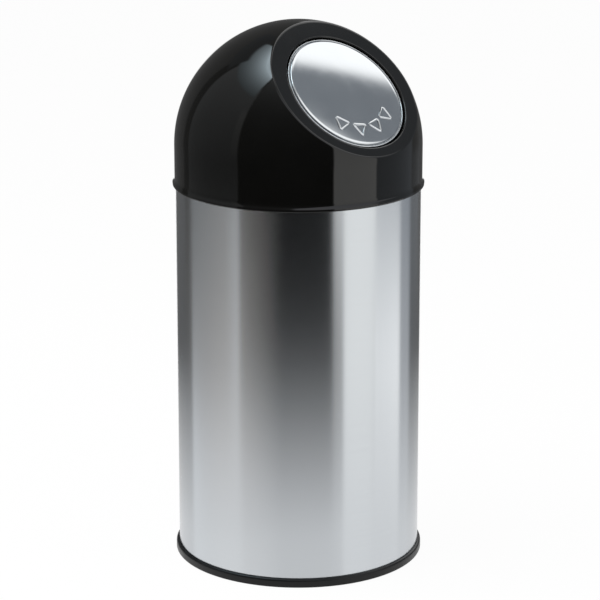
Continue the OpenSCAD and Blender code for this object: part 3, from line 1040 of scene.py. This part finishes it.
class RECEPTACLE_OT_flap(bpy.types.Operator):
    """Makes the crowned flap with its raised arrowheads, and the disc that closes its back"""

    bl_idname = "receptacle.flap"
    bl_label = "Flap"

    # The disc at the back is a little sunk inside a sloping border, which lies so far from its edge
    dish, dish_start, dish_end = 0.2 * MM, 11 * MM, 14 * MM

    def execute(self, context):
        sizes = context.scene.receptacle
        s, dome = sizes.flap, sizes.dome
        radius = dome.hole_radius - s.gap
        top = flat_height(dome)[1] - s.sunk
        to_hole = flat_frame(dome) @ Matrix.Translation((0, -dome.hole_drop, 0))
        face = turned("polished_stainless", self.profile(s, radius, top), closed=False)
        marks = self.marks(s, radius, top)
        piece("flap_disc", "flap_face", "flap", "polished_stainless", face, marks, matrix=to_hole)
        under, reach = top - s.rim, radius - s.sheet
        below = [
            (0, under + self.dish, 0),
            (reach - self.dish_end, under + self.dish, 2 * MM),
            (reach - self.dish_start, under, 2 * MM),
            (reach, under, 0.3 * MM),
        ]
        above = [(x, z + s.sheet, rounding) for x, z, rounding in below[::-1]]
        back = disc("satin_black", below + above)
        piece("flap_backplate", "flap_back", "flap", "satin_black", back, matrix=to_hole)
        return {"FINISHED"}

    def crown(self, s, radius, r):
        """How far the face stands above its rim at a radius."""
        return s.crown * (1 - (r / (radius - s.step)) ** 2)

    def profile(self, s, radius, top):
        """The pressed sheet's section: crowned face, step down, beaded border, rim, and the same inside."""
        bend, edge, end, rings = 1.5 * MM, radius - s.step, top - s.rim, 18
        ditch, shoulder, bead = top - s.step_depth, top - 0.8 * MM, 0.85 * s.bead
        start, border = edge - 3 * bend, radius - 2 * s.bead
        spokes = [(edge - bend) * k / rings for k in range(rings)]
        face = [(x, top + self.crown(s, radius, x)) for x in spokes]
        corners = [
            (start, top + self.crown(s, radius, start), 0),
            (edge, top, bend),
            (edge + 0.2 * MM, ditch, 0.3 * MM),
            (border, ditch, 0.3 * MM),
            (border + 0.1 * MM, shoulder, bead),
            (radius, shoulder, bead),
            (radius, end, 0.3 * MM),
            (radius - s.sheet, end, 0.3 * MM),
            (radius - s.sheet, ditch - s.sheet, 0.8 * MM),
            (edge - s.sheet, ditch - s.sheet, 1 * MM),
            (edge - s.sheet - bend, top - s.sheet, 1 * MM),
        ]
        outside = [(x, z) for x, z in face if x < start - 1 * MM]
        inside = [(x, z - s.sheet) for x, z in face[::-1] if x < start - bend]
        return outside + outline(corners, closed=False) + inside

    def marks(self, s, radius, top):
        """A row of raised arrowheads along the flap's lower edge, pointing outwards."""
        rise = UP * (top + self.crown(s, radius, s.mark_radius) - 0.1 * MM)
        slope = 2 * s.crown * s.mark_radius / (radius - s.step) ** 2
        places, pointing, facing = [], [], []
        for k in range(s.mark_count):
            a = math.radians(-90) + s.mark_spread * (k - (s.mark_count - 1) / 2)
            out = Vector((math.cos(a), math.sin(a), 0))
            places.append(out * s.mark_radius + rise)
            pointing.append((out - UP * slope).normalized())
            facing.append((out * slope + UP).normalized())
        points = points_with(places, pointing=pointing, facing=facing)
        return grow(mark_tree, points, "polished_stainless", size=s.mark_size, line=s.mark_line)


class RECEPTACLE_OT_strap(bpy.types.Operator):
    """Makes the strap behind the flap with its two knuckles, its rivets and the rubber stop"""

    bl_idname = "receptacle.strap"
    bl_label = "Strap, rivets and stop"

    # Half widths of the stop tab, the shoulders and the two arms that end in the knuckles
    tab, shoulder, arm_outside, arm_inside = 20 * MM, 36 * MM, 30 * MM, 18 * MM
    # Places up the slope from the flat's middle
    tab_end, arm_start, pad_start, pad_end = -101 * MM, 88 * MM, -99 * MM, -93.3 * MM
    rivet_rows, rivet_columns = (-40 * MM, 50 * MM), (-22 * MM, 22 * MM)
    # Half the pad's width, and radius of the knuckles and the rivets
    pad, knuckle, rivet, rivet_height = 15 * MM, 3.8 * MM, 3.5 * MM, 1.2 * MM

    def execute(self, context):
        sizes = context.scene.receptacle
        s, dome, hinge = sizes.flap, sizes.dome, sizes.hinge
        on_flat = flat_frame(dome)
        pin = on_flat.inverted() @ FLAP_PIN
        flat_z = flat_height(dome)[1]
        under = flat_z - s.sunk - s.rim
        strap = under - s.strap
        half = [
            (self.tab, self.tab_end, 2 * MM),
            (self.shoulder, 0, 30 * MM),
            (self.shoulder, self.arm_start, 2 * MM),
            (self.arm_outside, self.arm_start, 0.6 * MM),
            (self.arm_outside, pin.y, 0),
            (self.arm_inside, pin.y, 0),
            (self.arm_inside, self.arm_start, 1.5 * MM),
        ]
        parts = [plate(both_sides(half), strap, under, 0.3 * MM)]
        bore = hinge.pin + 0.05 * MM
        for start in (-self.arm_outside, self.arm_inside):
            end = start + self.arm_outside - self.arm_inside
            tube = [
                (bore, start, 0.2 * MM),
                (self.knuckle, start, 0.4 * MM),
                (self.knuckle, end, 0.4 * MM),
                (bore, end, 0.2 * MM),
            ]
            knuckle = ring("satin_black", tube, columns=40)
            parts.append(moved(knuckle, Matrix.Translation(pin) @ ALONG_X))
        piece("hinge_strap", "flap_strap", "flap", "satin_black", *parts, matrix=on_flat)
        places = [(x, y, strap + 0.02 * MM) for x in self.rivet_columns for y in self.rivet_rows]
        heads = rivets(places, [-UP] * len(places), self.rivet, self.rivet_height)
        piece("strap_rivet_heads", "strap_rivets", "flap", "bright_wire", heads, matrix=on_flat)
        pad_corners = both_sides([(self.pad, self.pad_start, 1 * MM), (self.pad, self.pad_end, 1 * MM)])
        pad = plate(pad_corners, under, flat_z - dome.lip_depth - 0.3 * MM, 0.5 * MM)
        piece("rubber_stop", "stop_bumper", "flap", "black_rubber", pad, matrix=on_flat)
        return {"FINISHED"}


# ---------------------------------------------------------------- the liner


class RECEPTACLE_OT_liner(bpy.types.Operator):
    """Makes the galvanised liner: its wall with a rolled rim and two beads, its base and the rim's wire"""

    bl_idname = "receptacle.liner"
    bl_label = "Liner"

    # How far the beads are from the foot and from the rim, how far they stand out, and their slope: each step
    # along the wall in millimetres, with its share of the height
    bead_low, bead_high, bead_height = 60 * MM, 70 * MM, 1.2 * MM
    bead_slope = [(0.8, 0.96), (2, 0.62), (3.4, 0.18), (5, 0), (8, 0)]
    roll_end = -80
    rim_wire = 2.2 * MM

    def execute(self, context):
        s = context.scene.receptacle.liner
        inside = s.radius - s.sheet
        rim_x, rim_z = s.radius + s.rim - s.sheet, s.top - s.rim
        beads = (s.foot + self.bead_low, s.top - self.bead_high)
        wall = [(s.radius, s.foot)]
        for z in beads:
            wall += self.bead(s.radius, z)
        wall += outline([(*wall[-1], 0), (s.radius, rim_z, 0)], closed=False)[1:]
        wall += arc((rim_x, rim_z), s.rim - s.sheet, 180, self.roll_end, 22)[1:]
        wall += arc((rim_x, rim_z), s.rim, self.roll_end, 180, 24)
        for z in beads[::-1]:
            wall += self.bead(inside, z)[::-1]
        wall += [(inside, s.foot)]
        piece("liner_wall", "liner_shell", "liner", "galvanised", turned("galvanised", wall))
        deck, flange = s.deck - s.sheet, inside - s.sheet
        base_corners = [
            (0, deck, 0),
            (flange, deck, 1.2 * MM),
            (flange, s.foot, 0),
            (inside, s.foot, 0),
            (inside, s.deck, 1.7 * MM),
            (0, s.deck, 0),
        ]
        piece("liner_floor", "liner_base", "liner", "galvanised", disc("galvanised", base_corners))
        rod = turned("bright_wire", circle(rim_x, rim_z, self.rim_wire, 16))
        piece("rim_wire", "liner_rim_wire", "liner", "bright_wire", rod)
        return {"FINISHED"}

    def bead(self, radius, z):
        """A shallow outward bead across the wall, drawn upwards."""
        below = [(-step, share) for step, share in self.bead_slope[::-1]]
        return [(radius + share * self.bead_height, z + step * MM) for step, share in below + self.bead_slope]


class RECEPTACLE_OT_bail(bpy.types.Operator):
    """Makes the two ears inside the liner's rim, their rivets and the wire bail"""

    bl_idname = "receptacle.bail"
    bl_label = "Ears and bail"

    # Height of an ear, and half the width of its foot and of its head
    ear_height, ear_foot, ear_head = 34 * MM, 14 * MM, 8 * MM
    # Radius and height of a rivet's head, its height above the ear's foot, and its place in degrees
    rivet, rivet_height, rivet_rise, rivet_turn = 3 * MM, 1.8 * MM, 12 * MM, 3.4
    # The bail's bend where it turns in through the ear
    bend = 3.4 * MM

    def execute(self, context):
        s = context.scene.receptacle.liner
        face = s.radius - s.sheet - s.ear
        rim_z, bottom = s.top - s.rim, s.top - self.ear_height
        half = [
            (self.ear_foot, bottom, 3 * MM),
            (self.ear_foot, rim_z, 4 * MM),
            (self.ear_head, rim_z, 3 * MM),
            (self.ear_head, BAIL_PIN.z + self.ear_head, self.ear_head - 0.1 * MM),
        ]
        hole = (0, BAIL_PIN.z, s.wire + 0.1 * MM)
        ears, places, facing = [], [], []
        for side in (0, 180):
            ear = bent_round(on_edge(plate(both_sides(half), 0, s.ear, 0.3 * MM, hole)), face)
            ears.append(moved(ear, Matrix.Rotation(math.radians(side), 4, "Z")))
            for lean in (-self.rivet_turn, self.rivet_turn):
                a = math.radians(side + lean)
                out = Vector((math.cos(a), math.sin(a), 0))
                places.append(out * (face + 0.05 * MM) + UP * (bottom + self.rivet_rise))
                facing.append(-out)
        piece("bail_ears", "liner_ears", "liner", "galvanised", *ears)
        heads = rivets(places, facing, self.rivet, self.rivet_height)
        piece("ear_rivet_heads", "ear_rivets", "liner", "bright_wire", heads)
        piece("bail_wire", "liner_bail", "bail", "bright_wire", wire(self.path(s), s.wire, 20))
        return {"FINISHED"}

    def path(self, s):
        """Half a circle over the rim, with both ends bent in through the ears."""
        radius, bend, steps = s.radius + s.rim - s.sheet, self.bend, 90
        tip = s.radius - s.sheet - s.poke
        start = math.asin(bend / radius)
        half = [(tip, 0), (tip + 2 * MM, 0), *arc((radius - bend, bend), bend, -90, 0, 8)[:-1]]
        over = [start + (math.pi - 2 * start) * k / steps for k in range(steps + 1)]
        path = half + [(radius * math.cos(a), radius * math.sin(a)) for a in over]
        path += [(-x, y) for x, y in half[::-1]]
        return [(x, y, BAIL_PIN.z) for x, y in path]


# ---------------------------------------------------------------- the stage

# What the steel and the enamel see round them. Each card has its two sides in degrees round the object (0 is
# the camera's side, and positive is to the camera's right), how far it leans sideways for each degree up, its
# lower and upper end in degrees above the floor, its level at each, its colour, and how soft its sides and
# its ends are in degrees. A later card covers an earlier one.
CARDS = (
    ("white backdrop", 168, 192, 0, -50, 0, 1.2, 1.2, "#ffffff", 3, 3),
    ("dark corner, left", -131, -120, 0, -14, 46, 0.07, 0.04, "#ffffff", 3, 3),
    ("grey wall, left", -121, -57, 0, -14, 55, 0.14, 0.48, "#f0f3f6", 2, 3),
    ("lit edge, left", -64, -57, 0, -2, 34, 0.2, 0.42, "#f6f8f8", 3, 6),
    ("softbox, upper left", -152, -60, 0, 47, 70, 0.55, 8.0, "#e4f6ff", 3, 3),
    ("dark corner, upper left", -165, -124, 0, 38, 53, 0.13, 0.13, "#e9f1fb", 4, 4),
    ("softbox, top left", -152, -60, 0, 69, 78, 8.0, 4.0, "#e4f6ff", 3, 4),
    ("floor, left", -121, -56.5, 0, -34, -13.5, 3.6, 0.74, "#f3f7fa", 2, 2),
    ("floor, right", 76, 112, 0, -60, -13.5, 0.02, 2.25, "#fffefc", 4, 2),
    ("floor, back right", 112, 130, 0, -60, -13.5, 0.1, 0.66, "#fafcff", 4, 2),
    ("grey wall, right", 76, 150, 0, -14, 64, 0.34, 0.34, "#e9f1fb", 2, 2),
    ("dark corner, right", 128, 150, 0, -14, 24, 0.14, 0.14, "#ffffff", 6, 14),
    ("window, right", 131.5, 178, -0.44, 20, 64, 1.8, 1.8, "#ffffff", 2, 12),
    ("softbox, upper right", 76, 106.5, 0, 34, 64, 1.65, 1.65, "#ffffff", 2, 14),
    ("softbox, right", 32, 76, 0, -60, 58, 1.25, 0.86, "#fffffd", 1, 4),
    ("black flag, front", -57, 32, 0, -16, 78, 0.003, 0.9, "#f0f3f6", 1, 3),
    ("black flag, low", -55, 43, 0, -60, -14, 0.001, 0.001, "#ffffff", 1, 1),
    ("softbox, front", 40, 104, -1.61, 16, 64, 0.9, 1.2, "#f6f8ff", 7, 6),
    ("floor, front left", -80, -15.5, -5, -25, -13.5, 3.6, 0.14, "#fcf5ee", 3, 2),
    ("softbox, overhead", -180, 180, 0, 76, 95, 1.35, 1.35, "#ffffff", 1, 6),
)
DARK_STUDIO = 0.13


def eased(value, edge):
    """0 below 0, 1 above the edge's width, and smooth between."""
    share = min(max(value / edge + 0.5, 0), 1)
    return share * share * (3 - 2 * share)


def seen_light(around, above):
    """The light that comes from one direction, in degrees round the object and above the floor."""
    light = Vector([DARK_STUDIO] * 3)
    for _, start, end, lean, bottom, top, below, over, tint, side, tip in CARDS:
        off = (around - (start + end) / 2 - lean * (above - bottom) + 180) % 360 - 180
        inside = eased((end - start) / 2 - abs(off), side)
        inside *= eased(above - bottom, tip) * eased(top - above, tip)
        share = min(max((above - bottom) / (top - bottom), 0), 1)
        level = below * (over / below) ** share
        light = light.lerp(Vector(linear(tint)) * level, inside)
    return light


def seen_rays(tree):
    """The kinds of ray, and a field that is 1 where the camera, a reflection or a clear piece sees this."""
    ray = add(tree, "ShaderNodeLightPath").outputs
    direct = calculate(tree, "MAXIMUM", ray["Is Camera Ray"], ray["Is Glossy Ray"])
    return ray, calculate(tree, "MAXIMUM", direct, ray["Is Transmission Ray"])


class RECEPTACLE_OT_stage(bpy.types.Operator):
    """Makes the pale floor, the ring of cards and softboxes, the lamps, the world and the camera"""

    bl_idname = "receptacle.stage"
    bl_label = "Studio"

    floor_radius = 30
    # The paper's grey, its level in reflections, the part of it that keeps no shadow, and the part that
    # reflections see through near the object, up to so much of the paper's radius
    paper_grey, paper_mirrored, paper_flat, paper_thin, paper_near = 0.9, 0.94, 0.96, 0.13, 0.25
    room_light = 0.45
    tent_columns, tent_rows = 360, 180
    lamp_aim = 0.35

    def execute(self, context):
        s = context.scene.receptacle.studio
        self.towards = Vector((math.sin(s.turn), -math.cos(s.turn), 0))
        self.right = Vector((math.cos(s.turn), math.sin(s.turn), 0))
        self.floor(s)
        self.tent(s)
        self.lamp("lamp overhead", around=-80, above=66, distance=2.6, width=1.8, power=60)
        self.lamp("lamp right", around=60, above=24, distance=3.0, width=1.4, power=16)
        self.world(context.scene)
        self.camera(context.scene, s)
        context.scene.view_settings.view_transform = "Standard"
        return {"FINISHED"}

    def direction(self, around, above):
        """The world direction of a place in degrees round the object and above the floor."""
        a, e = math.radians(around), math.radians(above)
        return (self.towards * math.cos(a) + self.right * math.sin(a)) * math.cos(e) + UP * math.sin(e)

    def floor(self, s):
        """A wide pale disc. The steel sees it white near the object, and the dark studio further out."""
        rim = [(x, y, 0) for x, y in circle(0, 0, self.floor_radius, 96)]
        mesh = mesh_of("floor", rim, [range(len(rim))])
        material = bpy.data.materials.new("white paper")
        tree = cleared(material)
        ray, seen = seen_rays(tree)
        level = spread(tree, ray["Is Glossy Ray"], 0, 1, 1.0, self.paper_mirrored)
        white = add(tree, "ShaderNodeEmission", {"Color": (1, 1, 1, 1), "Strength": level})
        paper = add(tree, "ShaderNodeBsdfDiffuse", {"Color": (*[self.paper_grey] * 3, 1)})
        share = calculate(tree, "MULTIPLY", seen, self.paper_flat)
        lit = add(tree, "ShaderNodeMixShader", {0: share, 1: paper, 2: white})
        place = add(tree, "ShaderNodeTexCoord").outputs["Object"]
        far = add(tree, "ShaderNodeVectorMath", {0: place}, operation="LENGTH").outputs["Value"]
        edge = spread(tree, far, s.paper_radius * self.paper_near, s.paper_radius, self.paper_thin, 1)
        beyond = calculate(tree, "MULTIPLY", edge, ray["Is Glossy Ray"])
        clear = add(tree, "ShaderNodeBsdfTransparent")
        mixed = add(tree, "ShaderNodeMixShader", {0: beyond, 1: lit, 2: clear})
        add(tree, "ShaderNodeOutputMaterial", {"Surface": mixed})
        mesh.materials.append(material)
        floor = placed("floor", mesh)
        floor.location = self.towards * s.paper_shift - UP * 0.1 * MM

    def tent(self, s):
        """The cards and softboxes as one large ball, which only reflections see."""
        verts, lights = [], []
        for row in range(self.tent_rows + 1):
            above = -90 + 180 * row / self.tent_rows
            for column in range(self.tent_columns):
                around = -180 + 360 * column / self.tent_columns
                verts.append(self.direction(around, above) * s.tent_radius)
                lights += [*seen_light(around, above), 1]
        mesh = mesh_of("studio cards", verts, net(self.tent_rows + 1, self.tent_columns))
        mesh.attributes.new("light", "FLOAT_COLOR", "POINT").data.foreach_set("color", lights)
        material = bpy.data.materials.new("studio cards")
        tree = cleared(material)
        light = add(tree, "ShaderNodeAttribute", attribute_name="light", attribute_type="GEOMETRY")
        glow = add(tree, "ShaderNodeEmission", {"Color": light.outputs["Color"], "Strength": 1.0})
        add(tree, "ShaderNodeOutputMaterial", {"Surface": glow})
        material.cycles.emission_sampling = "NONE"
        mesh.materials.append(material)
        tent = placed("studio_cards", mesh)
        tent.visible_camera = tent.visible_diffuse = tent.visible_shadow = tent.visible_transmission = False

    def lamp(self, name, around, above, distance, width, power):
        """A square softbox that lights the object. Reflections see the cards instead of it."""
        light = bpy.data.lights.new(name, "AREA")
        light.size = width
        light.energy = power
        lamp = placed(name, light)
        towards = self.direction(around, above)
        lamp.location = towards * distance + UP * self.lamp_aim
        lamp.rotation_euler = towards.to_track_quat("Z", "Y").to_euler()
        lamp.visible_glossy = False

    def world(self, scene):
        """White where the camera or a reflection sees it, and an even dim light for everything else."""
        scene.world = bpy.data.worlds.new("studio")
        tree = cleared(scene.world)
        strength = spread(tree, seen_rays(tree)[1], 0, 1, self.room_light, 1.0)
        background = add(tree, "ShaderNodeBackground", {"Color": (1, 1, 1, 1), "Strength": strength})
        add(tree, "ShaderNodeOutputWorld", {"Surface": background})

    def camera(self, scene, s):
        """The camera at the photograph's angle, looking at the drum's middle."""
        data = bpy.data.cameras.new("camera")
        data.lens = s.lens
        data.sensor_width = 36
        scene.camera = placed("camera", data)
        aim = self.right * s.aim_side + UP * s.aim_height
        back = self.direction(0, math.degrees(s.rise))
        scene.camera.location = aim + back * s.distance
        scene.camera.rotation_mode = "QUATERNION"
        scene.camera.rotation_quaternion = (-back).to_track_quat("-Z", "Y")


# ---------------------------------------------------------------- panel and registration

SIZES = (DrumSizes, DomeSizes, FlapSizes, HingeSizes, LinerSizes, Finishes, Studio, Receptacle)
OPERATORS = (
    RECEPTACLE_OT_stage,
    RECEPTACLE_OT_drum,
    RECEPTACLE_OT_foot,
    RECEPTACLE_OT_dome,
    RECEPTACLE_OT_seat_ring,
    RECEPTACLE_OT_hinge,
    RECEPTACLE_OT_flap,
    RECEPTACLE_OT_strap,
    RECEPTACLE_OT_liner,
    RECEPTACLE_OT_bail,
)


class RECEPTACLE_PT_pieces(bpy.types.Panel):
    """Lists the pieces that can be made"""

    bl_idname = "RECEPTACLE_PT_pieces"
    bl_label = "Waste receptacle"
    bl_space_type = "VIEW_3D"
    bl_region_type = "UI"
    bl_category = "Receptacle"

    def draw(self, context):
        for operator in OPERATORS:
            self.layout.operator(operator.bl_idname)


def register():
    for cls in (*SIZES, *OPERATORS, RECEPTACLE_PT_pieces):
        bpy.utils.register_class(cls)
    bpy.types.Scene.receptacle = bpy.props.PointerProperty(
        name="Receptacle", description="Sizes, finishes and studio of the receptacle", type=Receptacle
    )


def unregister():
    del bpy.types.Scene.receptacle
    for cls in (RECEPTACLE_PT_pieces, *OPERATORS[::-1], *SIZES[::-1]):
        bpy.utils.unregister_class(cls)


def main():
    register()
    for operator in OPERATORS:
        getattr(bpy.ops.receptacle, operator.bl_idname.split(".")[1])()


if __name__ == "__main__":
    main()
